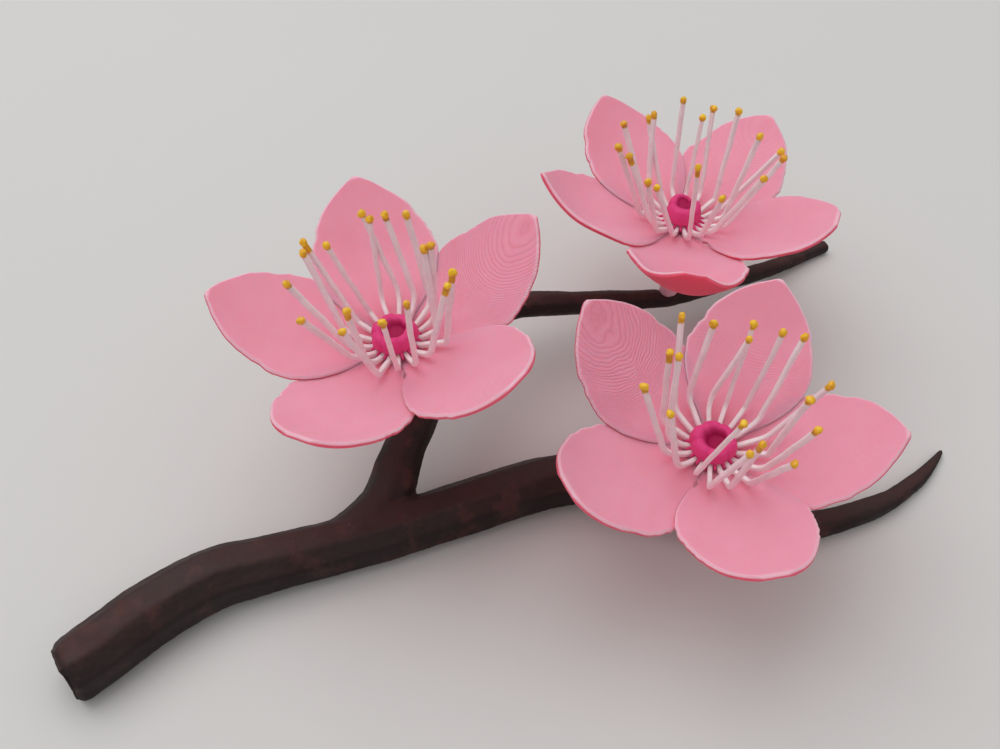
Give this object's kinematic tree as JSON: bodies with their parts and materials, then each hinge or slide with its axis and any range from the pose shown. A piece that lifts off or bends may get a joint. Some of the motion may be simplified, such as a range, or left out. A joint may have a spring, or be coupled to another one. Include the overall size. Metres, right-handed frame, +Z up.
{
  "type": "3d-printed cherry blossom sprig",
  "caption": "Printed ornament: a forked brown branch lying down with open pink cherry blossoms on short stalks, each with a magenta cup and a star of white, yellow-tipped stamens",
  "frame": {"origin": "on the flat underside of the branch, at the fork, in the plane of the surface it lies on", "axes": "+X along the sprig, from the thick cut end of the branch to its thin tips; +Y from the main limb towards the arm and the far blossom; +Z up, out of the surface it lies on"},
  "size_m": [0.1852, 0.1366, 0.0644],
  "materials": {
    "branch": "dark brown printed plastic, rubbed with a redder brown",
    "petals": "pink printed plastic with fine layer contours",
    "stamens": "off-white, slightly translucent printed strips",
    "anthers": "drops of yellow paint on the stamens' ends",
    "centre": "magenta printed plastic"
  },
  "bodies": {
    "root": {"branch": "branch", "petals_left": "petals", "stamens_left": "stamens", "centre_left": "centre", "petals_far": "petals", "stamens_far": "stamens", "centre_far": "centre", "petals_right": "petals", "stamens_right": "stamens", "centre_right": "centre"}
  },
  "joints": []
}
